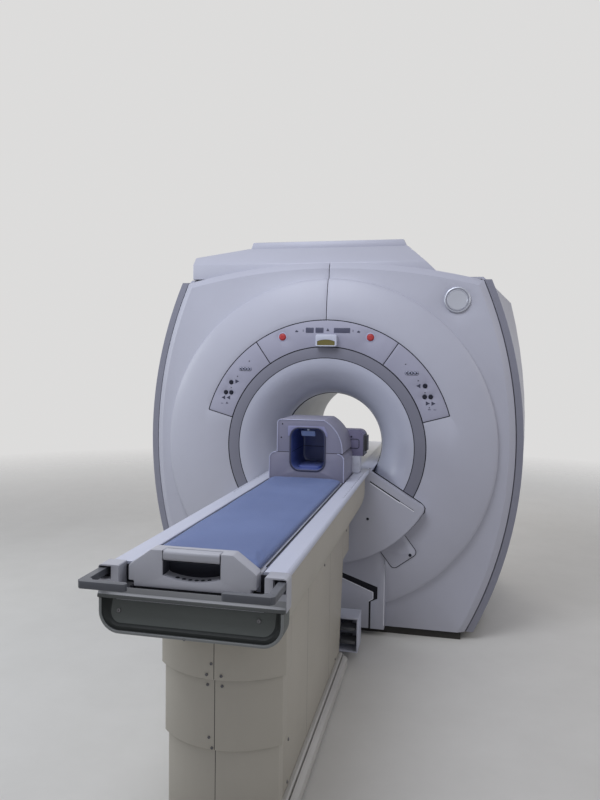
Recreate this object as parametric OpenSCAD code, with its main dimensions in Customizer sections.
// MRI scanner: a ring magnet in its moulded housing, a docked patient table and a head coil.
// Origin on the floor under the isocentre, +X to the right, +Y along the bore, +Z up.

/* [Gantry] */
// Height of the bore axis above the floor
iso_h = 1070; // [1065:1:1085]
// Depth from the front ring to the rear face
body_depth = 1720; // [1680:10:1800]
// Inner radius of the bore tube
bore_r = 300; // [298:1:306]
// Wall of the bore tube
bore_wall = 12; // [8:1:14]
// Radius of the bell mouth at the front ring
bell_r = 503; // [495:1:510]
// Depth over which the front bell mouth narrows
bell_depth = 300; // [260:10:340]
// Wall of both bells at their throats
bell_wall = 7; // [5:1:9]
// Mouth radius of the rear bell
rear_bell_r = 430; // [400:5:450]
// Depth of the rear bell mouth
rear_bell_depth = 170; // [140:5:200]
// Radial width of the grey front ring
ring_w = 64; // [60:1:68]
// Thickness of the grey front ring
ring_t = 12; // [8:1:14]

/* [Front covers] */
// Half width of the front cover at its widest
cover_half_w = 1047; // [1030:1:1060]
// Radius of the bulging side edges
cover_side_r = 2320; // [2200:10:2500]
// Height of the widest point above the bore axis
cover_mid = 14; // [0:1:40]
// Height of the top edge above the bore axis
cover_rise = 1049; // [1030:1:1060]
// Radius of the arched top edge
cover_top_r = 3400; // [3000:50:4000]
// Gap between the covers and the floor
cover_gap = 45; // [35:1:50]
// Sheet thickness of the covers
cover_t = 14; // [12:1:18]
// Setback of the outer face behind the ring
face_back = 72; // [65:1:80]
// Width of the bevelled edge band
bevel_w = 35; // [25:1:40]
// Depth of the bevelled edge band
bevel_d = 22; // [15:1:28]
// Depth of the front cover behind the ring
cover_depth = 116; // [112:1:125]
// Radius of the raised disc round the bore
disc_r = 955; // [940:1:965]
// Fall of the disc from its flat middle to its edge
disc_fall = 45; // [35:1:50]
// Rounding of the disc edge
disc_round = 14; // [8:1:18]
// Width of the seam between the two front covers
seam_w = 4; // [2:0.5:6]
// Radius of the blank badge
badge_r = 71; // [60:1:75]
// Badge position to the right of the bore axis
badge_x = 716; // [700:1:730]
// Badge position above the bore axis
badge_rise = 831; // [815:1:845]

/* [Console] */
// Outer radius of the control arc
console_r = 717; // [710:1:725]
// Thickness of the console plates
console_t = 10; // [8:1:12]
// Angle from the top to the outer ends of the side consoles
console_end = 74; // [70:1:78]
// Angle from the top to the joints of the middle console
console_split = 34.5; // [32:0.5:37]
// Radius of the emergency stop buttons
stop_r = 20; // [16:1:22]
// Radius on which the stop buttons sit
stop_orbit = 669; // [660:1:675]
// Angle of the stop buttons from the top
stop_angle = 22; // [20:0.5:25]
// Radius of the round keys
key_r = 11; // [9:0.5:12]
// Height of the buttons and keys above the console
key_rise = 5; // [3:0.5:7]
// Width of the alignment light housing
light_w = 118; // [100:1:125]
// Height of the alignment light housing
light_h = 66; // [60:1:72]
// Depth of the alignment light housing
light_d = 46; // [35:1:55]

/* [Housing sides and top] */
// Width of the grey trim band round the front
trim_w = 42; // [35:1:45]
// Depth of the grey trim band
trim_d = 38; // [30:1:45]
// Open groove between front cover and trim
trim_gap = 6; // [4:1:8]
// Half width of the rear body
body_half_w = 1128; // [1110:1:1140]
// Radius of the rear body's side walls
body_side_r = 3000; // [2700:50:3400]
// Height of the side covers above the bore axis
body_rise = 965; // [950:1:975]
// Chamfer on the upper edges of the side covers
body_chamfer = 120; // [90:5:140]
// Sheet thickness of the side covers
side_t = 12; // [9:1:16]
// Length over which the sides widen behind the trim
flare_len = 300; // [220:10:380]
// Length of the bevel towards the rear cover
rear_bevel = 90; // [60:5:110]
// Thickness of the rear cover
rear_t = 60; // [50:5:70]
// Left end of the top hood
hood_left = 840; // [830:1:850]
// Right foot of the top hood
hood_right = 632; // [620:1:640]
// Height of the left shoulder of the hood above the bore axis
hood_shoulder = 1103; // [1090:1:1115]
// Height of the hood's flat top above the bore axis
hood_rise = 1160; // [1150:1:1170]
// Left end of the hood's flat top
hood_flat_left = 520; // [505:1:530]
// Right end of the hood's flat top
hood_flat_right = 430; // [420:1:440]
// Height of the raised cap on the hood
cap_h = 40; // [30:1:50]
// Lean of the hood's front from upright
hood_lean = 45; // [40:1:50]

/* [Magnet] */
// Outer radius of the magnet vessel
vessel_r = 900; // [880:5:910]
// Length of the magnet vessel
vessel_len = 1340; // [1300:10:1360]
// Outer radius of the gradient coil
gradient_r = 450; // [440:1:470]
// Wall of the gradient coil
gradient_wall = 105; // [95:1:120]
// Length of the gradient coil
gradient_len = 1220; // [1180:10:1260]
// Thickness of the floor plate
plate_t = 20; // [16:1:24]
// Radius of the anchor holes
anchor_r = 11; // [9:0.5:13]
// Anchor spacing across the bore
anchor_x = 1300; // [1250:10:1340]
// Anchor spacing along the bore
anchor_y = 1100; // [1050:10:1150]

/* [Bridge and dock] */
// Radius of the half moon bridge panel
bridge_r = 655; // [645:1:665]
// Thickness of the bridge panel
bridge_t = 52; // [45:1:56]
// Downward slope of the panel's top edges
bridge_slope = 31.6; // [29:0.2:34]
// Half width of the dock opening in the covers
dock_half_w = 357; // [350:1:365]
// Radial length of the service hatch
hatch_len = 138; // [125:1:145]
// Width of the service hatch
hatch_w = 165; // [150:1:175]
// Angle of the service hatch from the top
hatch_angle = 143; // [141:0.5:145]

/* [Table top] */
// Drop of the rail tops below the bore axis
rail_drop = 108; // [104:1:112]
// Half width over the rails
rail_half_w = 265; // [260:1:268]
// Width of a rail
rail_w = 69; // [66:1:72]
// Height of a rail's edge
rail_h = 22; // [18:1:26]
// Distance from the front ring to the rails' head end
rail_head = 70; // [66:1:80]
// Distance from the front ring to the table's foot end
table_foot = 2050; // [2030:5:2100]
// Radius of the tub's bilge
tub_r = 200; // [195:1:205]
// Depth of the tub below the rail tops
tub_h = 262; // [258:1:266]
// Wall of the tub
tub_wall = 8; // [6:1:10]
// Depth of the grey end tray
tray_d = 62; // [55:1:70]
// Height of the grey end tray
tray_h = 100; // [90:1:104]
// Reach of the push handles beyond the table's foot
handle_reach = 122; // [105:1:140]
// Thickness of the push handles
handle_t = 20; // [16:1:24]
// Length of the inward grip of a push handle
handle_grip = 130; // [110:1:140]

/* [Cradle] */
// Half width of the sliding cradle
cradle_half_w = 188; // [184:1:190]
// Thickness of the cradle
cradle_t = 33; // [30:1:36]
// Height of the foot block's top above the rails
block_rise = 53; // [45:1:60]
// Length of the foot block
block_len = 110; // [100:1:120]
// Half width of the grip opening
grip_half_w = 84; // [78:1:88]
// Thickness of the mattress
pad_t = 25; // [20:1:30]
// Half width of the mattress
pad_half_w = 183; // [176:1:184]

/* [Head coil] */
// Distance from the front ring to the coil's near face
coil_front = 500; // [480:5:520]
// Depth of the head coil
coil_depth = 290; // [260:5:300]
// Half width of the coil base
coil_base_half_w = 190; // [186:1:192]
// Height of the coil base above the cradle
coil_base_h = 146; // [140:1:150]
// Height of the coil's upper half
coil_top_h = 163; // [156:1:170]
// Radius of the right shoulder of the coil's upper half
coil_arc_r = 176; // [172:1:180]
// Left side of the coil's upper half
coil_top_left = 150; // [145:1:155]
// Half width of the coil opening
coil_open_half_w = 83; // [78:1:88]
// Height of the coil opening
coil_open_h = 204; // [195:1:210]

/* [Pedestal] */
// Half width over the side panels
panel_half_w = 169; // [166:1:171]
// Thickness of the side panels
panel_t = 6; // [4:1:8]
// Plan radius of the outer foot skirt
skirt_r = 290; // [280:1:300]
// Half width of the outer foot skirt
skirt_half_w = 208; // [204:1:212]
// Step from one skirt to the next
skirt_step = 11; // [10:0.5:12]
// Wall of the skirts
skirt_wall = 5; // [4:0.5:6]
// Height of the upper skirt below the tub
skirt_upper_h = 135; // [130:1:140]
// Visible height of the middle skirt
skirt_middle_h = 227; // [222:1:232]
// Travel of the table lift
lift_travel = 205; // [190:1:210]
// Height of the side sills
sill_h = 80; // [72:1:86]
// Width of the side sills
sill_w = 44; // [38:1:48]
// Radius of the caster wheels
wheel_r = 50; // [46:1:52]
// Width of the caster wheels
wheel_w = 28; // [24:1:32]
// Radius of the pedal cross shafts
shaft_r = 8; // [6:0.5:10]

/* [Fits] */
// Clearance between pieces that meet
seat = 0.3; // [0.2:0.05:0.5]
// Radial running clearance of shafts
run = 0.05; // [0.02:0.01:0.08]

/* [Hidden] */
round_fn = 180;
small_fn = 48;
far = 4000;
cut = 1;
face_y = -body_depth / 2;
rear_y = body_depth / 2;
ring_r = bell_r + ring_w;
cover_top = iso_h + cover_rise;
bore_clear = bore_r - seat;

// gantry depths, all measured from the front ring
flat_t = 20;
pocket_t = console_t + seat;
cover_in_r = ring_r + seat;
trim_y = face_y + face_back + bevel_d + trim_gap;
trim_back_y = trim_y + trim_d + 7;
side_y = trim_back_y + seat;
flare_y = side_y + flare_len;
rear_cover_y = rear_y - rear_t;
side_back_y = rear_cover_y - seat;
side_straight_y = side_back_y - rear_bevel;
side_top = iso_h + body_rise;
side_in_x = hood_right - 12;
shelf_half_w = side_in_x + 140;
rear_window_z = side_top - 265;
hood_z = side_top + seat;
hood_front_y = face_y + cover_depth + seat;
hood_back_y = rear_cover_y - seat;
cap_back_y = hood_back_y - 120;
liner_half = gradient_len / 2;
gradient_in_r = gradient_r - gradient_wall;
liner_out_r = bore_r + bore_wall + seat;
bell_end_y = face_y + bell_depth;
rear_bell_y = rear_y - rear_bell_depth;
plinth_half_w = 780;
plinth_y0 = face_y + 90;
plinth_y1 = rear_cover_y - 20;

// bridge and table heights
rail_top = iso_h - rail_drop;
tub_bottom = rail_top - tub_h;
skirt_upper_z = tub_bottom - skirt_upper_h;
skirt_middle_z = skirt_upper_z - skirt_middle_h;
bridge_top = rail_top - 5;
bridge_y0 = face_y - bridge_t;
bridge_y1 = face_y - 2;
trough_half_w = cradle_half_w + 8;
cradle_top = rail_top - 7;
cradle_z = cradle_top - cradle_t;
ledge_top = cradle_z - seat;
tub_top = rail_top - rail_h - seat;
tub_edge_x = rail_half_w - 15;
tub_mid_x = tub_edge_x - tub_r;
tub_slot_x = panel_half_w + 1.1;
tub_mid_z = tub_bottom + sqrt(tub_r * tub_r - pow(tub_slot_x - tub_mid_x, 2));
rail_in = rail_half_w - rail_w;
ledge_in = rail_in - 20;
casting_half_w = rail_half_w + 10;
casting_z0 = rail_top - 90;
foot_y = face_y - table_foot;
casting_y1 = foot_y + 50;
head_y = face_y - rail_head;
tub_head_y = head_y - 60;
tub_foot_y = casting_y1 + seat;
beam_half_w = 140;
beam_z0 = tub_bottom + 130;
beam_z1 = cradle_z - 18;
cradle_head_y = head_y - 5;
block_y1 = foot_y + 5 + block_len;
block_y0 = foot_y + 5;
block_top = rail_top + block_rise;
coil_y0 = face_y - coil_front;
coil_y1 = coil_y0 + coil_depth;
coil_z0 = cradle_top + seat;
coil_split = cradle_top + coil_base_h;
coil_open_z = cradle_top + 59;
coil_open_r = 42;
coil_open_x = 6;
coil_end_t = 10;
module_x0 = 80;
module_x1 = 250;
module_z0 = coil_split - 45;
module_z1 = coil_split + 88;
module_y1 = coil_y1 + 150;
module_r = 38;

// pedestal
skirt_y = face_y - 1850;
skirt_back_y = skirt_y + 150;
panel_foot_y = skirt_y + 100;
panel_out_x = panel_half_w + 0.8;
panel_head_y = tub_head_y - 10;
panel_top = tub_bottom + 5;
panel_x0 = panel_half_w - panel_t;
chassis_z0 = 90;
chassis_z1 = 160;
chassis_half_w = panel_x0 - 0.5;
nose_z0 = 60;
nose_z1 = 140;
nose_y0 = face_y - 440;
nose_y1 = head_y;
tongue_half_w = 50;
tongue_z0 = 100;
tongue_y1 = face_y + 55;
column_half_x = 60;
column_half_y = 80;
column_play = 2;
column_wall = 8;
column_outer_z1 = beam_z0 - lift_travel - 25;
column_inner_z0 = chassis_z1 + lift_travel + 55;
column_ys = [foot_y + 610, face_y - 640];
axle_ys = [foot_y + 410, face_y - 540];
pedal_y = face_y - 230;
lift_pedal_z = 165;
dock_pedal_z = 96;
box_x0 = 150;
box_x1 = 252;
box_z0 = 46;
box_z1 = 226;
box_y0 = face_y - 340;
box_y1 = face_y - 200;
key_polar = [[660, 57.2], [658, 63.0], [629, 61.7]];

// Shapes drawn in X and Z, drawn out along the bore from y0 to y1
module slab(y0, y1) {
    translate([0, y1, 0])
        rotate([90, 0, 0])
            linear_extrude(y1 - y0)
                children();
}

// Shapes drawn in Y and Z, drawn out across from x0 to x1
module across(x0, x1) {
    translate([x0, 0, 0])
        rotate([90, 0, 90])
            linear_extrude(x1 - x0)
                children();
}

// Turns a (radius, depth) profile round the bore axis, angles from the top towards +X
module spin(y = face_y, a0 = 0, a1 = 360) {
    translate([0, y, iso_h])
        rotate([-90, 0, 0])
            rotate([0, 0, a0 - 90])
                rotate_extrude(angle = a1 - a0, $fn = round_fn)
                    children();
}

// Places a child by radius and angle from the top, its own z pointing into the gantry
module at_polar(r, a, y) {
    translate([r * sin(a), y, iso_h + r * cos(a)])
        rotate([-90, 0, 0])
            children();
}

// Round bar along the bore
module bore_rod(r, y0, y1, r_end = 0) {
    translate([0, y0, iso_h])
        rotate([-90, 0, 0])
            cylinder(r1 = r, r2 = r_end > 0 ? r_end : r, h = y1 - y0, $fn = round_fn);
}

module mirrored() {
    children();
    mirror([1, 0, 0])
        children();
}

// Box between two corners
module block(x0, x1, y0, y1, z0, z1) {
    translate([x0, y0, z0])
        cube([x1 - x0, y1 - y0, z1 - z0]);
}

// One side or top arc of the gantry outline as a straight or tapered drum
module drum(x, z, r0, r1, y0, y1) {
    translate([x, y0, z])
        rotate([-90, 0, 0])
            cylinder(r1 = r0, r2 = r1, h = y1 - y0, $fn = round_fn);
}

// Barrel shaped outline of the front, grown by g0 at y0 and g1 at y1
module barrel(g0, g1, y0, y1, z0 = cover_gap) {
    intersection() {
        drum(cover_half_w - cover_side_r, iso_h + cover_mid, cover_side_r + g0, cover_side_r + g1, y0, y1);
        drum(cover_side_r - cover_half_w, iso_h + cover_mid, cover_side_r + g0, cover_side_r + g1, y0, y1);
        drum(0, cover_top - cover_top_r, cover_top_r + g0, cover_top_r + g1, y0, y1);
        block(-far / 2, far / 2, y0 - cut, y1 + cut, z0, far);
    }
}

function dome(r) = disc_fall * pow((r - console_r) / (disc_r - console_r), 2);
disc_steps = 6;
disc_step = (disc_r - disc_round - console_r) / disc_steps;
disc_skin = [for (i = [0:disc_steps]) [console_r + i * disc_step, dome(console_r + i * disc_step)]];
disc_edge = [for (a = [30:30:90]) [
    disc_r - disc_round + disc_round * sin(a),
    dome(disc_r - disc_round) + disc_round * (1 - cos(a)) + 2]];
disc_inside = [for (i = [disc_steps:-1:0]) [
    console_r + i * disc_step - (i == disc_steps ? 8 : 0),
    max(flat_t, dome(console_r + i * disc_step) + cover_t)]];

// Section of the raised disc, from the ring out to its rolled edge
module disc_profile() {
    polygon(concat(
        [[cover_in_r, 0]],
        disc_skin,
        disc_edge,
        [[disc_r, face_back + cover_t], [disc_r - disc_round - 8, face_back + cover_t]],
        disc_inside,
        [[cover_in_r, flat_t]]));
}

// Corner of the covers taken up by the table dock, below the ring
module dock_gap(grow, y0, y1) {
    slab(y0, y1)
        difference() {
            translate([-dock_half_w - grow, grow < 0 ? cover_gap : 0])
                square([2 * (dock_half_w + grow),
                    iso_h - bridge_r * 0.83 - (grow < 0 ? cover_gap + seat : 0)]);
            translate([0, iso_h])
                circle(r = cover_in_r + 33 - grow, $fn = round_fn);
        }
}

module rounded_box(w, h, t, r) {
    linear_extrude(t)
        rounded_rect(w, h, r);
}

// Rectangle with round corners, built from two bars and four discs
module rounded_rect(w, h, r) {
    square([w - 2 * r, h], center = true);
    square([w, h - 2 * r], center = true);
    for (sx = [-1, 1])
        for (sy = [-1, 1])
            translate([sx * (w / 2 - r), sy * (h / 2 - r)])
                circle(r = r, $fn = small_fn);
}

// Both front covers in one piece, before the seam divides them
module front_shell() {
    difference() {
        union() {
            difference() {
                union() {
                    barrel(-bevel_w, 0, face_y + face_back, face_y + face_back + bevel_d);
                    barrel(0, 0, face_y + face_back + bevel_d, face_y + cover_depth);
                }
                barrel(-cover_t - 8, -cover_t - 8, face_y + face_back + cover_t,
                    face_y + cover_depth + cut, cover_gap + cover_t);
                bore_rod(disc_r - disc_round, face_y, face_y + cover_depth + cut);
            }
            intersection() {
                spin()
                    disc_profile();
                block(-far, far, face_y - cut, rear_y, cover_gap, far);
            }
        }
        spin(face_y, -console_end - 0.2, console_end + 0.2)
            translate([ring_r - 5, -cut])
                square([console_r + 0.5 - ring_r + 5, cut + pocket_t]);
        dock_gap(0, face_y - cut, face_y + cover_depth + cut);
        for (s = [-1, 1])
            at_polar(stop_orbit, s * stop_angle, face_y)
                cylinder(r = stop_r * 0.6, h = 60, $fn = small_fn);
        for (s = [-1, 1])
            for (k = key_polar)
                at_polar(k[0], s * k[1], face_y)
                    cylinder(r = key_r * 0.6, h = 60, $fn = small_fn);
        at_polar(sqrt(badge_x * badge_x + badge_rise * badge_rise),
            atan2(badge_x, badge_rise), face_y + face_back - cut)
            cylinder(r = badge_r * 0.6, h = cut + 6, $fn = small_fn);
    }
}

module front_cover_left() {
    color("gainsboro")
        intersection() {
            front_shell();
            block(-far, -seam_w / 2, -far, far, -cut, far);
        }
}

module front_cover_right() {
    color("gainsboro")
        difference() {
            intersection() {
                front_shell();
                block(seam_w / 2, far, -far, far, -cut, far);
            }
            hatch_place(face_y - cut)
                rounded_box(hatch_len + 4, hatch_w + 4, cut + 9, 27);
        }
}

// Local frame of the service hatch: x outwards from the bore, z into the cover
module hatch_place(y) {
    translate([0, y, iso_h])
        rotate([-90, 0, 0])
            rotate([0, 0, hatch_angle - 90])
                translate([bridge_r - 15 + hatch_len / 2, 0, 0])
                    children();
}

module service_hatch() {
    color("lightgray") {
        hatch_place(face_y + 0.6)
            rounded_box(hatch_len, hatch_w, 7.1, 25);
        hatch_place(face_y - 1.4)
            translate([hatch_len / 2 - 14, -hatch_w / 2 + 40, 0])
                cylinder(r = 6, h = 4, $fn = small_fn);
    }
}

module ring_trim() {
    color("slategray")
        spin()
            polygon([[bell_r + 0.5, 2], [bell_r + 2.5, 0], [ring_r - 2, 0], [ring_r, 2],
                [ring_r, ring_t], [bell_r + 0.5, ring_t]]);
}

// Trumpet section from a wide mouth at depth 0 to the bore tube
function trumpet(r0, r1, depth, i) = [
    r1 + (r0 - r1) * (1 - sin(i * 90)) ,
    depth * (1 - cos(i * 90))];
bell_steps = 14;

module front_bell() {
    color("whitesmoke")
        spin()
            polygon(concat(
                [for (i = [0:bell_steps]) trumpet(bell_r, bore_r, bell_depth, i / bell_steps)],
                [[bore_r + bell_wall, bell_depth],
                [gradient_in_r - 1, -liner_half - face_y - 2],
                [ring_r, ring_t + seat + 28],
                [ring_r, ring_t + seat],
                [bell_r, ring_t + seat]]));
}

module rear_bell() {
    color("whitesmoke")
        translate([0, 2 * rear_y, 0])
            mirror([0, 1, 0])
                spin(rear_y)
                    polygon(concat(
                        [for (i = [0:bell_steps])
                            trumpet(rear_bell_r, bore_r, rear_bell_depth, i / bell_steps)],
                        [[bore_r + bell_wall, rear_bell_depth],
                        [rear_bell_r + bell_wall, rear_bell_depth / 4],
                        [rear_bell_r + bell_wall, 0]]));
}

module bore_liner() {
    color("whitesmoke")
        spin(bell_end_y + seat)
            translate([bore_r, 0])
                square([bore_wall, rear_bell_y - bell_end_y - 2 * seat]);
}

// Thick tube inside the vessel, with two rings that carry the bore tube
module gradient_coil() {
    ring_y = liner_half - 80;
    color("peru")
        spin(0)
            polygon([[gradient_r - seat, -liner_half], [gradient_r - seat, liner_half],
                [gradient_in_r, liner_half], [gradient_in_r, ring_y + 20],
                [liner_out_r, ring_y + 20], [liner_out_r, ring_y],
                [gradient_in_r, ring_y], [gradient_in_r, -ring_y],
                [liner_out_r, -ring_y], [liner_out_r, -ring_y - 20],
                [gradient_in_r, -ring_y - 20], [gradient_in_r, -liner_half]]);
}

module magnet_vessel() {
    color("silver")
        difference() {
            bore_rod(vessel_r, -vessel_len / 2, vessel_len / 2);
            bore_rod(gradient_r, -vessel_len / 2 - cut, vessel_len / 2 + cut);
        }
}

saddle_half_w = 480;
saddle_z = iso_h - sqrt(vessel_r * vessel_r - saddle_half_w * saddle_half_w);
saddle_ys = [-430, 270];
saddle_len = 160;

module magnet_base() {
    color("dimgray") {
        difference() {
            block(-plinth_half_w, plinth_half_w, plinth_y0, plinth_y1, 0, plate_t);
            for (sx = [-1, 1])
                for (sy = [-1, 1])
                    translate([sx * anchor_x / 2, sy * anchor_y / 2, -cut])
                        cylinder(r = anchor_r, h = plate_t + 2 * cut, $fn = small_fn);
        }
        difference() {
            block(-plinth_half_w, plinth_half_w, plinth_y0, plinth_y1, plate_t, cover_gap - seat);
            block(-plinth_half_w + 25, plinth_half_w - 25, plinth_y0 + 25, plinth_y1 - 25,
                plate_t - cut, cover_gap + cut);
        }
        difference() {
            for (y = saddle_ys)
                block(-saddle_half_w, saddle_half_w, y, y + saddle_len, plate_t, saddle_z);
            bore_rod(vessel_r + seat, -far, far);
        }
    }
}

// Stepped bore that guides a push button and takes its head
module button_bore(head_r) {
    translate([0, 0, -cut])
        cylinder(r = head_r * 0.6, h = 30, $fn = small_fn);
    translate([0, 0, -cut])
        cylinder(r = head_r + 0.5, h = cut + 4.5, $fn = small_fn);
}

// One console plate between two angles
module console_arc(a0, a1) {
    spin(face_y, a0, a1)
        translate([ring_r + 0.5, 0])
            square([console_r - ring_r - 0.5, console_t]);
}

module console_center() {
    color("gainsboro")
        difference() {
            console_arc(-console_split + 0.15, console_split - 0.15);
            for (s = [-1, 1])
                at_polar(stop_orbit, s * stop_angle, face_y)
                    button_bore(stop_r);
        }
}

module console_side(s) {
    difference() {
        console_arc(min(s * (console_split + 0.15), s * console_end),
            max(s * (console_split + 0.15), s * console_end));
        for (k = key_polar)
            at_polar(k[0], s * k[1], face_y)
                button_bore(key_r);
    }
}

module console_left() {
    color("gainsboro")
        console_side(-1);
}

module console_right() {
    color("gainsboro")
        console_side(1);
}

// Button with a domed head and a stem that runs in its bore
module push_button(r, a, head_r) {
    at_polar(r, a, face_y - key_rise)
        union() {
            cylinder(r1 = head_r - 2, r2 = head_r, h = 2, $fn = small_fn);
            translate([0, 0, 2])
                cylinder(r = head_r, h = key_rise - 1, $fn = small_fn);
            cylinder(r = head_r * 0.6 - run, h = key_rise + console_t + 14, $fn = small_fn);
        }
}

module stop_button_left() {
    color("red")
        push_button(stop_orbit, -stop_angle, stop_r);
}

module stop_button_right() {
    color("red")
        push_button(stop_orbit, stop_angle, stop_r);
}

module round_key(i, s) {
    color("dimgray")
        push_button(key_polar[i][0], s * key_polar[i][1], key_r);
}

light_x = 8;
light_z = iso_h + ring_r + 34;
window_half_w = light_w / 2 - 9;

// Alignment light: a housing that stands out of the console, with an arched window below
module light_housing() {
    color("whitesmoke")
        difference() {
            translate([light_x, 0, light_z])
                slab(face_y - light_d, face_y - seat)
                    rounded_rect(light_w, light_h, 9);
            translate([light_x, 0, light_z - light_h / 2])
                slab(face_y - light_d - cut, face_y - light_d + 12)
                    translate([0, 6])
                        window_shape(0);
        }
}

module window_shape(inset) {
    intersection() {
        translate([0, 32 - 130])
            circle(r = 130 - inset, $fn = round_fn);
        translate([-window_half_w + inset, inset])
            square([2 * (window_half_w - inset), 60]);
    }
}

module light_window() {
    color("darkgoldenrod")
        translate([light_x, 0, light_z - light_h / 2])
            slab(face_y - light_d + 2, face_y - light_d + 11.7)
                translate([0, 6])
                    window_shape(seat);
}

module badge() {
    color("silver")
        at_polar(sqrt(badge_x * badge_x + badge_rise * badge_rise), atan2(badge_x, badge_rise),
            face_y + face_back - 9)
            difference() {
                union() {
                    cylinder(r1 = badge_r - 3, r2 = badge_r, h = 3, $fn = 96);
                    translate([0, 0, 3])
                        cylinder(r = badge_r, h = 6 - seat, $fn = 96);
                    cylinder(r = badge_r * 0.6 - 1, h = 14, $fn = 96);
                }
                translate([0, 0, -cut])
                    cylinder(r = badge_r * 0.75, h = cut + 4, $fn = 96);
            }
}

// Grey band round both sides of the front, with a lip behind the front cover
module side_trims() {
    color("slategray")
        mirrored()
            difference() {
                intersection() {
                    union() {
                        difference() {
                            side_drum(trim_gap + trim_w - 6, trim_y, trim_back_y);
                            side_drum(trim_gap, trim_y - cut, trim_back_y + cut);
                        }
                        difference() {
                            side_drum(trim_gap + 4, face_y + cover_depth + seat, trim_back_y);
                            side_drum(-cover_t - 4, face_y + cover_depth, trim_back_y + cut);
                        }
                    }
                    block(0, far, -far, far, cover_gap, side_top - 20);
                }
                block(-far, shelf_half_w + 20, -far, far, -cut, far);
            }
}

module side_drum(grow, y0, y1) {
    drum(cover_half_w - cover_side_r, iso_h + cover_mid, cover_side_r + grow, cover_side_r + grow, y0, y1);
}

// Half outline of the body in X and Z: a bulging side with a broken upper corner
side_steps = 14;
function side_x(r, half_w, mid, z) = half_w - r + sqrt(r * r - (z - mid) * (z - mid));
function body_outline(r, half_w, mid, corner, top, low = cover_gap) = concat(
    [for (i = [0:side_steps])
        let (z = low + (top - corner - low) * i / side_steps)
            [side_x(r, half_w, mid, z), z]],
    [[side_x(r, half_w, mid, top - corner) - corner * 0.95, top - 8],
    [side_x(r, half_w, mid, top - corner) - corner * 1.1, top]]);
function side_outlines(t, low) = [
    body_outline(cover_side_r + 34 - t, cover_half_w + 34 - t, iso_h + cover_mid, 40, side_top - t, low),
    body_outline(body_side_r - t, body_half_w - t, iso_h + 80, body_chamfer, side_top - t, low),
    body_outline(body_side_r - t, body_half_w - 55 - t, iso_h + 80, body_chamfer, side_top - 30 - t, low)];
rear_outline = side_outlines(0, cover_gap)[2];

module half_outline(pts, x) {
    polygon(concat([[x, pts[0][1]]], pts, [[x, pts[len(pts) - 1][1]]]));
}

// Closed form of a side cover: it widens behind the trim and narrows towards the rear
module side_form(outlines, x, y0, y1) {
    hull() {
        slab(y0, side_y + 2)
            half_outline(outlines[0], x);
        slab(flare_y, flare_y + 1)
            half_outline(outlines[1], x);
    }
    slab(flare_y, side_straight_y)
        half_outline(outlines[1], x);
    hull() {
        slab(side_straight_y - 1, side_straight_y)
            half_outline(outlines[1], x);
        slab(y1 - 2, y1)
            half_outline(outlines[2], x);
    }
}

module side_cover() {
    difference() {
        union() {
            side_form(side_outlines(0, cover_gap), side_in_x, side_y, side_back_y);
            block(side_in_x, shelf_half_w, face_y + cover_depth + seat, side_y + 4, side_top - 20, side_top);
        }
        side_form(side_outlines(side_t, -cut), side_in_x - cut, side_y - cut, side_back_y - 16);
        block(0, side_in_x + 40, side_back_y - 20, side_back_y + cut, -cut, rear_window_z);
    }
}

module side_cover_left() {
    color("lightgray")
        mirror([1, 0, 0])
            side_cover();
}

module side_cover_right() {
    color("lightgray")
        side_cover();
}

module rear_cover() {
    color("lightgray")
        difference() {
            hull() {
                rear_plate(rear_cover_y, rear_cover_y + 20, 0);
                rear_plate(rear_y - 1, rear_y, 40);
            }
            bore_rod(rear_bell_r + bell_wall + seat, rear_cover_y - cut, rear_y + cut);
        }
}

module rear_plate(y0, y1, inset) {
    slab(y0, y1)
        polygon(concat(
            [for (q = rear_outline) [q[0] - inset, q[1] + (q[1] < iso_h ? inset : -inset)]],
            [for (i = [len(rear_outline) - 1:-1:0])
                [inset - rear_outline[i][0],
                rear_outline[i][1] + (rear_outline[i][1] < iso_h ? inset : -inset)]]));
}

hood_top = iso_h + hood_rise;
module hood_solid(inset, drop) {
    difference() {
        slab(hood_front_y + inset, hood_back_y - inset)
            polygon([[-hood_left + inset, hood_z - drop], [-hood_left + inset, iso_h + hood_shoulder - inset],
                [-hood_flat_left + inset * 0.2, hood_top - inset],
                [hood_flat_right - inset * 0.5, hood_top - inset],
                [hood_right - inset * 1.5, hood_z - drop]]);
        across(-far, far)
            polygon([[hood_front_y - far, cover_top + 6 - inset * 0.4],
                [hood_front_y + inset, cover_top + 6 - inset * 0.4],
                [hood_front_y + inset + far * tan(hood_lean), cover_top + far],
                [hood_front_y - far, cover_top + far]]);
    }
}

module top_hood() {
    color("lightgray")
        difference() {
            hood_solid(0, 0);
            hood_solid(14, 10);
        }
}

module top_cap() {
    color("lightgray")
        slab(hood_front_y + (hood_top - cover_top) * tan(hood_lean) + 12, cap_back_y)
            polygon([[-hood_flat_left + 6, hood_top + seat], [-hood_flat_left + 20, hood_top + cap_h],
                [hood_flat_right - 24, hood_top + cap_h], [hood_flat_right - 4, hood_top + seat]]);
}

// Outline of the half moon panel that carries the table across to the bore
bridge_corner_a = 118.4;
module bridge_shape(inset) {
    intersection() {
        translate([0, iso_h])
            circle(r = bridge_r - inset, $fn = round_fn);
        polygon(bridge_points(inset));
    }
}

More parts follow.
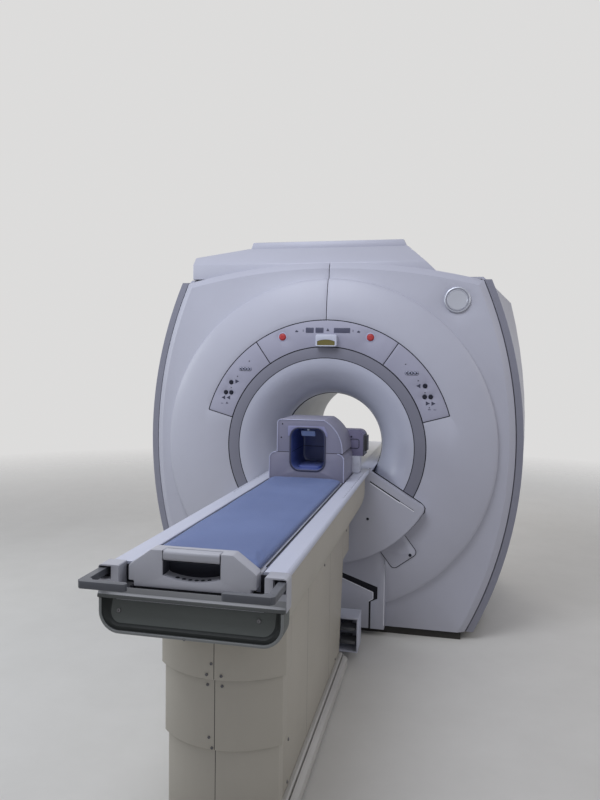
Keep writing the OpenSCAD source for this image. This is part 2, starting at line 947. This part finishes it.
function bridge_line(x) = bridge_top - (x - rail_half_w + 9) * tan(bridge_slope);
function bridge_points(inset) = let (
    x0 = rail_half_w - 9, x1 = 549, x2 = 562, x3 = 567, x4 = 562,
    side = [[x4 - inset, bridge_line(x4) - 42], [x3 - inset, bridge_line(x3) - 14],
        [x2 - inset, bridge_line(x2) - 4],
        [x1, bridge_line(x1) - inset], [x0, bridge_top - inset]])
    concat([[-far, 0], [-x4 + inset, 0]],
        [for (q = side) [-q[0], q[1]]],
        [for (i = [len(side) - 1:-1:0]) side[i]],
        [[x4 - inset, 0]]);

module trough(y0, y1) {
    block(-trough_half_w, trough_half_w, y0, y1, ledge_top, far);
}

module bridge_panel() {
    color("lightgray")
        difference() {
            union() {
                slab(bridge_y0 + 6, bridge_y1)
                    bridge_shape(0);
                slab(bridge_y0 + 3, bridge_y0 + 6)
                    bridge_shape(2);
                slab(bridge_y0, bridge_y0 + 3)
                    bridge_shape(5);
            }
            trough(bridge_y0 - cut, bridge_y1 + cut);
            mirrored()
                for (run_x = [[269, 437, 8, 6], [437, 512, 4, 3]])
                    panel_slot(run_x[0], run_x[1], run_x[2], run_x[3]);
            translate([260, bridge_y0 - cut, iso_h - 385])
                rotate([-90, 0, 0])
                    cylinder(r = 8, h = 12, $fn = small_fn);
            translate([-260, bridge_y0 - cut, iso_h - 385])
                rotate([-90, 0, 0])
                    cylinder(r = 8, h = 12, $fn = small_fn);
        }
}

module panel_slot(x0, x1, w, d) {
    slope = bridge_slope;
    translate([x0, 0, bridge_line(x0) - 50])
        rotate([0, slope, 0])
            translate([0, bridge_y0 - cut, -w])
                cube([(x1 - x0) / cos(slope), cut + d, w]);
}

module bore_track() {
    color("gainsboro")
        difference() {
            slab(bridge_y1 + seat, rear_y)
                intersection() {
                    translate([0, iso_h])
                        circle(r = bore_clear, $fn = round_fn);
                    translate([-far, 0])
                        square([2 * far, bridge_top]);
                }
            trough(bridge_y1, rear_y + cut);
        }
}

frame_y = face_y + 8;
frame_back_y = face_y + face_back + cover_t;
frame_floor_y = face_y + 46;
dock_outline = [[100, 360], [316, 286], [316, 217], [279, 200], [279, 0]];
dock_inner = [[100, 330], [293, 255], [293, 215], [268, 199], [268, cover_gap]];

module both_sides(pts) {
    polygon(concat([for (q = pts) [-q[0], q[1]]], [for (i = [len(pts) - 1:-1:0]) pts[i]]));
}

module dock_frame() {
    color("lightgray")
        difference() {
            dock_gap(-seat, frame_y, frame_back_y);
            slab(frame_y - cut, frame_floor_y)
                both_sides(dock_outline);
            socket(frame_back_y + cut);
        }
}

module socket(y1) {
    block(-tongue_half_w - seat, tongue_half_w + seat, face_y - far / 10, y1,
        tongue_z0 - seat, nose_z1 + seat);
}

module dock_cover() {
    color("gainsboro")
        difference() {
            slab(face_y + 12, frame_floor_y - seat)
                both_sides(dock_inner);
            socket(frame_floor_y + cut);
        }
}

// Table chassis: a frame between the side panels, a nose towards the dock and its tongue
chassis_y0 = panel_foot_y + 35;
chassis_y1 = nose_y0;
wheel_x = 112;
well_half = wheel_r + 9;

module table_chassis() {
    color("dimgray")
        difference() {
            union() {
                block(-chassis_half_w, chassis_half_w, chassis_y0, chassis_y1, chassis_z0, chassis_z1);
                block(-nose_half_w, nose_half_w, nose_y0 - cut, nose_y1, nose_z0, nose_z1);
                block(-tongue_half_w, tongue_half_w, nose_y1 - cut, tongue_y1, tongue_z0, nose_z1);
                for (y = axle_ys)
                    mirrored()
                        block(wheel_x - 42, wheel_x - 26, y - 22, y + 22, wheel_r - 18, chassis_z0 + cut);
            }
            for (y = axle_ys) {
                mirrored()
                    block(wheel_x - wheel_w / 2 - 5, wheel_x + wheel_w / 2 + 5, y - well_half, y + well_half,
                        -cut, 2 * wheel_r + 6);
                translate([-far / 2, y, wheel_r])
                    rotate([0, 90, 0])
                        cylinder(r = shaft_r, h = far, $fn = small_fn);
            }
            translate([-far / 2, pedal_y, dock_pedal_z])
                rotate([0, 90, 0])
                    cylinder(r = shaft_r, h = far, $fn = small_fn);
        }
}
nose_half_w = beam_half_w;

// A pair of wheels on one axle
module wheel_pair(y) {
    translate([0, y, wheel_r])
        rotate([0, 90, 0]) {
            translate([0, 0, -wheel_x - wheel_w / 2 + 1])
                cylinder(r = shaft_r - run, h = 2 * wheel_x + wheel_w - 2, $fn = small_fn);
            for (s = [-1, 1])
                translate([0, 0, s * wheel_x - wheel_w / 2]) {
                    cylinder(r1 = wheel_r - 4, r2 = wheel_r, h = 4, $fn = small_fn);
                    translate([0, 0, 4])
                        cylinder(r = wheel_r, h = wheel_w - 8, $fn = small_fn);
                    translate([0, 0, wheel_w - 4])
                        cylinder(r1 = wheel_r, r2 = wheel_r - 4, h = 4, $fn = small_fn);
                }
        }
}

module foot_wheels() {
    color("dimgray")
        wheel_pair(axle_ys[0]);
}

module head_wheels() {
    color("dimgray")
        wheel_pair(axle_ys[1]);
}

// Grooved sills along the foot of both side panels
module side_sills() {
    color("silver")
        mirrored()
            difference() {
                slab(skirt_back_y - 100, nose_y0 + 10)
                    polygon([[panel_out_x + seat, 10], [panel_out_x + seat, sill_h],
                        [panel_half_w + 14, sill_h], [panel_half_w + sill_w - 6, sill_h - 20],
                        [panel_half_w + sill_w, sill_h - 28], [panel_half_w + sill_w, 10]]);
                block(panel_half_w + 19, panel_half_w + 25, -far, far, sill_h - 22, far);
                lower_skirt_room();
            }
}

module lower_skirt_room() {
    block(panel_half_w, skirt_half_w - 2 * skirt_step + 1, -far, skirt_back_y + 1, 0, far);
}

neck_z = tub_bottom - 170;
neck_len = 200;

module side_panels() {
    color("antiquewhite")
        mirrored()
            across(panel_x0, panel_out_x)
                polygon([[panel_foot_y, 30], [panel_foot_y, panel_top], [panel_head_y, panel_top],
                    [panel_head_y, neck_z], [panel_head_y - neck_len, neck_z],
                    [nose_y0 + 10, sill_h], [nose_y0 + 10, 30]]);
}

// Plan of a foot skirt: a flat bow with straight flanks
module skirt_plan(half_w, r) {
    intersection() {
        translate([0, skirt_y + skirt_r])
            circle(r = r, $fn = round_fn);
        translate([-half_w, -far])
            square([2 * half_w, far + skirt_back_y]);
    }
}

// Skirt shell number n, counted from the outside, with return flanges at its rear edge
module skirt(n, z0, z1) {
    half_w = skirt_half_w - n * skirt_step;
    r = skirt_r - n * skirt_step * 0.9;
    back = (2 - n) * 6;
    translate([0, 0, z0])
        linear_extrude(z1 - z0) {
            difference() {
                skirt_plan(half_w, r);
                skirt_plan_inner(half_w - skirt_wall, r - skirt_wall);
            }
            for (s = [-1, 1])
                translate([s * (half_w - skirt_wall / 2), skirt_back_y + back / 2 - 1])
                    square([skirt_wall, back + 2], center = true);
            for (s = [-1, 1])
                translate([s * (panel_out_x + seat + half_w) / 2, skirt_back_y + back - 2.5])
                    square([half_w - panel_out_x - seat, skirt_wall], center = true);
        }
}

module skirt_plan_inner(half_w, r) {
    intersection() {
        translate([0, skirt_y + skirt_r])
            circle(r = r, $fn = round_fn);
        translate([-half_w, -far])
            square([2 * half_w, far + skirt_back_y + cut]);
    }
}

module skirt_lower() {
    color("antiquewhite")
        skirt(2, 10, skirt_middle_z + 50);
}

module skirt_middle() {
    color("antiquewhite")
        skirt(1, skirt_middle_z, skirt_upper_z + 25);
}

module skirt_upper() {
    color("antiquewhite")
        difference() {
            skirt(0, skirt_upper_z, tub_bottom + 70);
            tub_solid(seat);
        }
}

module column_tube(half_x, half_y, wall, z0, z1) {
    for (y = column_ys)
        difference() {
            block(-half_x, half_x, y - half_y, y + half_y, z0, z1);
            block(-half_x + wall, half_x - wall, y - half_y + wall, y + half_y - wall, z0 - cut, z1 + cut);
        }
}

module column_outer() {
    color("silver")
        column_tube(column_half_x, column_half_y, column_wall, chassis_z1 + seat, column_outer_z1);
}

module column_inner() {
    color("silver")
        column_tube(column_half_x - column_wall - column_play, column_half_y - column_wall - column_play,
            column_wall, column_inner_z0, beam_z0 - seat);
}

// Round bilged section of the tub, drawn in by an inset
bilge_steps = 10;
bilge_angle = asin((tub_mid_z - tub_bottom) / tub_r);
function bilge(r, a0) = [for (i = [0:bilge_steps])
    let (a = a0 * (1 - i / bilge_steps))
        [tub_mid_x + r * cos(a), tub_mid_z - r * sin(a)]];

module tub_section(inset, top = tub_top) {
    both_sides(concat(bilge(tub_r - inset, bilge_angle + abs(inset)), [[tub_edge_x - inset, top]]));
}

nose_y = skirt_y - 2;
nose_z = rail_top - 190;
module tub_nose(grow) {
    hull() {
        slab(tub_foot_y, tub_foot_y + 1)
            polygon([[-tub_edge_x - grow, tub_top], [-tub_edge_x - grow, nose_z + 50],
                [-tub_edge_x + 50, nose_z - grow], [tub_edge_x - 50, nose_z - grow],
                [tub_edge_x + grow, nose_z + 50], [tub_edge_x + grow, tub_top]]);
        slab(nose_y, nose_y + 1)
            tub_section(-grow);
    }
}

// Whole outer form of the tub without its hollow
module tub_solid(grow) {
    tub_nose(grow);
    slab(nose_y, tub_head_y)
        tub_section(-grow);
}

module table_tub() {
    color("antiquewhite") {
        difference() {
            union() {
                tub_nose(0);
                slab(nose_y, panel_foot_y - 5)
                    tub_section(0);
            }
            block(-rail_in - 8 - seat, rail_in + 8 + seat, -far, far, beam_z1 + seat, far);
            block(-rail_in - 8 - seat, rail_in + 8 + seat, -far, tub_foot_y + 3, beam_z1 - 20, far);
        }
        difference() {
            slab(panel_foot_y - 5 - cut, tub_head_y - 8)
                difference() {
                    tub_section(0);
                    tub_section(tub_wall, rail_top);
                }
            block(-tub_slot_x, tub_slot_x, -far, far, 0, tub_bottom + 60);
        }
        slab(tub_head_y - 8 - cut / 2, tub_head_y)
            tub_section(0, beam_z1);
        block(-beam_half_w, beam_half_w, panel_foot_y - 5 - cut, tub_head_y - 7, beam_z0, beam_z1);
    }
}

module side_rails() {
    color("lavender")
        mirrored()
            slab(tub_foot_y, head_y) {
                polygon([[rail_in, rail_top - rail_h], [rail_half_w - 5, rail_top - rail_h],
                    [rail_half_w, rail_top - rail_h + 5], [rail_half_w, rail_top - 8],
                    [rail_half_w - 3, rail_top - 3], [rail_half_w - 8, rail_top],
                    [rail_in + 2, rail_top], [rail_in, rail_top - 2]]);
                translate([rail_in, beam_z1 + 1])
                    square([8, rail_top - rail_h - beam_z1]);
                translate([ledge_in, beam_z1 + 1])
                    square([rail_in - ledge_in + cut, ledge_top - beam_z1 - 1]);
            }
}

cap_x0 = 213;
module end_casting() {
    color("lavender")
        difference() {
            union() {
                mirrored()
                    slab(foot_y - 5, casting_y1)
                        polygon([[cap_x0, casting_z0], [cap_x0, rail_top + 1], [cap_x0 + 3, rail_top + 3],
                            [casting_half_w - 9, rail_top + 3], [casting_half_w - 3, rail_top],
                            [casting_half_w, rail_top - 6], [casting_half_w, casting_z0]]);
                across(-cap_x0 - cut, cap_x0 + cut)
                    polygon([[casting_y1, casting_z0], [casting_y1, casting_z0 + 30],
                        [foot_y + 16, casting_z0 + 30],
                        [foot_y - 12, casting_z0 + 9], [foot_y - 14, casting_z0]]);
            }
            mirrored()
                block(handle_x0 - 14, handle_x1 + seat, foot_y - 5 - cut, foot_y + 20,
                    handle_z - 12, handle_z + handle_t + 5);
        }
}
handle_x0 = 250;
handle_x1 = 272;
handle_z = rail_top - 27;

// Dark tray closing the foot end: a thin rim round a recess with sloping walls
tray_y0 = foot_y - 15;
tray_half_w = rail_half_w + 5;
tray_z0 = casting_z0 - tray_h;
tray_r = 62;
tray_floor = tray_d - 26;

module end_tray() {
    color("darkslategray")
        difference() {
            slab(tray_y0, casting_y1)
                tray_shape(0, casting_z0 - seat);
            hull() {
                slab(tray_y0 - cut, tray_y0)
                    tray_shape(3, casting_z0 + cut);
                slab(tray_y0 + tray_floor - 1, tray_y0 + tray_floor)
                    tray_shape(24, casting_z0 + cut);
            }
        }
}

module tray_shape(inset, top) {
    intersection() {
        union() {
            for (s = [-1, 1])
                translate([s * (tray_half_w - tray_r), tray_z0 + tray_r])
                    circle(r = tray_r - inset, $fn = small_fn);
            translate([-tray_half_w + tray_r, tray_z0 + inset])
                square([2 * (tray_half_w - tray_r), far]);
            translate([-tray_half_w + inset, tray_z0 + tray_r])
                square([2 * (tray_half_w - inset), far]);
        }
        translate([-far, 0])
            square([2 * far, top]);
    }
}

module push_handles() {
    color("slategray")
        mirrored() {
            block(handle_x0, handle_x1, foot_y - handle_reach + 4, foot_y + 20 - seat,
                handle_z, handle_z + handle_t);
            block(handle_x1 - handle_grip, handle_x1 - 10, foot_y - handle_reach - 8,
                foot_y - handle_reach + 14, handle_z, handle_z + handle_t);
            translate([handle_x1 - 18, foot_y - handle_reach + 10, handle_z])
                cylinder(r = 18, h = handle_t, $fn = small_fn);
            translate([handle_x1 - handle_grip, foot_y - handle_reach + 3, handle_z])
                cylinder(r = 11, h = handle_t, $fn = small_fn);
        }
}

module cradle() {
    color("lavender")
        slab(block_y1 + seat, cradle_head_y)
            polygon([[-cradle_half_w + 3, cradle_z], [-cradle_half_w, cradle_z + 3],
                [-cradle_half_w, cradle_top - 3], [-cradle_half_w + 3, cradle_top],
                [cradle_half_w - 3, cradle_top], [cradle_half_w, cradle_top - 3],
                [cradle_half_w, cradle_z + 3], [cradle_half_w - 3, cradle_z]]);
}

block_in_x = panel_half_w + 3;
grip_z = rail_top + 23;
lip_z = rail_top - 32;
lip_r = 265;
bar_d = 34;
recess_d = 45;
wall_d = 52;

module block_shape() {
    both_sides([[120, block_top], [cradle_half_w - 6, rail_top + 8], [cradle_half_w, rail_top + 2],
        [cradle_half_w, cradle_z], [block_in_x, cradle_z], [block_in_x, cradle_z - 16]]);
}

module cradle_block() {
    color("lavender")
        difference() {
            slab(block_y0, block_y1)
                block_shape();
            slab(block_y0 - cut, block_y0 + recess_d)
                intersection() {
                    translate([0, lip_z + lip_r])
                        circle(r = lip_r, $fn = round_fn);
                    translate([-grip_half_w, lip_z])
                        square([2 * grip_half_w, grip_z - lip_z]);
                }
            block(-grip_half_w, grip_half_w, block_y0 - cut, block_y0 - 2 + bar_d + seat, grip_z - cut, far);
            block(-far / 2, far / 2, block_y0 + wall_d, block_y1 + cut, cradle_top, far);
        }
}

// Rounded grip bar over the recess of the foot block
module cradle_grip() {
    color("lavender")
        across(-grip_half_w + seat, grip_half_w - seat)
            translate([block_y0 - 2 + bar_d / 2, (grip_z + block_top) / 2])
                rounded_rect(bar_d, block_top - grip_z, 11);
}

module mattress() {
    color("steelblue")
        slab(block_y0 + wall_d + 4, coil_y0 - 10)
            both_sides([[pad_half_w - 8, coil_z0 + pad_t], [pad_half_w - 2, coil_z0 + pad_t - 5],
                [pad_half_w, coil_z0 + pad_t / 2], [pad_half_w - 4, coil_z0]]);
}

module coil_opening() {
    slab(coil_y0 - cut, coil_y1 - coil_end_t)
        translate([coil_open_x, coil_open_z + coil_open_h / 2])
            rounded_rect(2 * coil_open_half_w, coil_open_h, coil_open_r);
}

coil_base_r = 35;
module coil_base() {
    color("silver")
        difference() {
            slab(coil_y0, coil_y1) {
                for (s = [-1, 1])
                    translate([s * (coil_base_half_w - coil_base_r), coil_split - seat - coil_base_r])
                        circle(r = coil_base_r, $fn = small_fn);
                translate([-coil_base_half_w, coil_z0])
                    square([2 * coil_base_half_w, coil_split - seat - coil_base_r - coil_z0]);
                translate([-coil_base_half_w + coil_base_r, coil_z0])
                    square([2 * (coil_base_half_w - coil_base_r), coil_split - seat - coil_z0]);
            }
            coil_opening();
        }
}

// Upper half of the coil: square to the left, a broad round shoulder to the right
coil_corner_r = 22;
module coil_top() {
    color("silver")
        difference() {
            slab(coil_y0, coil_y1)
                intersection() {
                    union() {
                        translate([coil_open_x, coil_split + 7])
                            circle(r = coil_arc_r, $fn = round_fn);
                        translate([-coil_top_left, coil_split])
                            square([coil_top_left, coil_top_h - coil_corner_r]);
                        translate([-coil_top_left + coil_corner_r, coil_split])
                            square([coil_top_left - coil_corner_r, coil_top_h]);
                        translate([-coil_top_left + coil_corner_r, coil_split + coil_top_h - coil_corner_r])
                            circle(r = coil_corner_r, $fn = small_fn);
                    }
                    translate([-coil_top_left, coil_split])
                        square([far, coil_top_h]);
                }
            coil_opening();
        }
}

coil_open_top = coil_open_z + coil_open_h;
module coil_mirror() {
    color("lightsteelblue") {
        translate([5, coil_y0 + 22, coil_open_top - 24])
            rotate([30, 0, 0])
                cube([70, 4, 30], center = true);
        block(0, 10, coil_y0 + 18, coil_y0 + 28, coil_open_top - 20, coil_open_top - seat);
    }
}

// Plug module behind the coil, on its foot and with its socket on the right
module coil_module() {
    color("dimgray") {
        slab(coil_y1 + seat, module_y1) {
            translate([module_x0, module_z0])
                square([module_x1 - module_x0, module_z1 - module_z0 - module_r]);
            translate([module_x0, module_z0])
                square([module_x1 - module_x0 - module_r, module_z1 - module_z0]);
            translate([module_x1 - module_r, module_z1 - module_r])
                circle(r = module_r, $fn = small_fn);
        }
        block(coil_base_half_w - 25, module_x1 - 22, coil_y1 + seat, coil_y1 + 90, rail_top + 3, module_z0 + cut);
        block(coil_base_half_w - 25, cradle_half_w - 2, coil_y1 + seat, coil_y1 + 90, coil_z0, rail_top + 4);
        block(module_x1 - cut, module_x1 + 12, coil_y1 + 50, coil_y1 + 120, module_z0 + 22, module_z1 - 30);
    }
}

// Open boxes that guard the pedals on both sides of the nose
module pedal_housings() {
    color("whitesmoke")
        mirrored()
            difference() {
                block(nose_half_w + seat, box_x1, box_y0, box_y1, box_z0, box_z1);
                block(box_x0, box_x1 - 6, box_y0 - cut, box_y1 - 20, box_z0 + 6, box_z1 - 6);
                for (z = [lift_pedal_z, dock_pedal_z])
                    translate([nose_half_w - cut, pedal_y, z])
                        rotate([0, 90, 0])
                            cylinder(r = shaft_r, h = 60, $fn = small_fn);
            }
}

module pedal(z) {
    translate([-box_x0 - 60, pedal_y, z])
        rotate([0, 90, 0])
            cylinder(r = shaft_r - run, h = 2 * box_x0 + 120, $fn = small_fn);
    mirrored() {
        block(box_x0 + 25, box_x0 + 50, pedal_y - 30, pedal_y, z - 6, z + 6);
        difference() {
            block(box_x0 + 8, box_x1 - 14, box_y0 + 5, pedal_y - 28, z - 8, z + 8);
            for (i = [0:3])
                block(box_x0, box_x1, box_y0 + 15 + i * 16, box_y0 + 19 + i * 16, z + 5.5, z + 20);
        }
    }
}

module lift_pedal() {
    color("dimgray")
        pedal(lift_pedal_z);
}

module dock_pedal() {
    color("dimgray")
        pedal(dock_pedal_z);
}

magnet_base();
magnet_vessel();
gradient_coil();
bore_liner();
front_bell();
rear_bell();
ring_trim();
console_center();
console_left();
console_right();
light_housing();
light_window();
badge();
front_cover_left();
front_cover_right();
side_trims();
side_cover_left();
side_cover_right();
rear_cover();
top_hood();
top_cap();
bridge_panel();
bore_track();
service_hatch();
dock_frame();
dock_cover();
stop_button_left();
stop_button_right();
round_key(0, -1);  // left_key_1
round_key(1, -1);  // left_key_2
round_key(2, -1);  // left_key_3
round_key(0, 1);  // right_key_1
round_key(1, 1);  // right_key_2
round_key(2, 1);  // right_key_3
table_chassis();
side_sills();
side_panels();
skirt_lower();
skirt_middle();
skirt_upper();
column_outer();
column_inner();
table_tub();
side_rails();
end_casting();
end_tray();
push_handles();
cradle();
cradle_block();
cradle_grip();
mattress();
coil_base();
coil_top();
coil_mirror();
coil_module();
pedal_housings();
lift_pedal();
dock_pedal();
foot_wheels();
head_wheels();
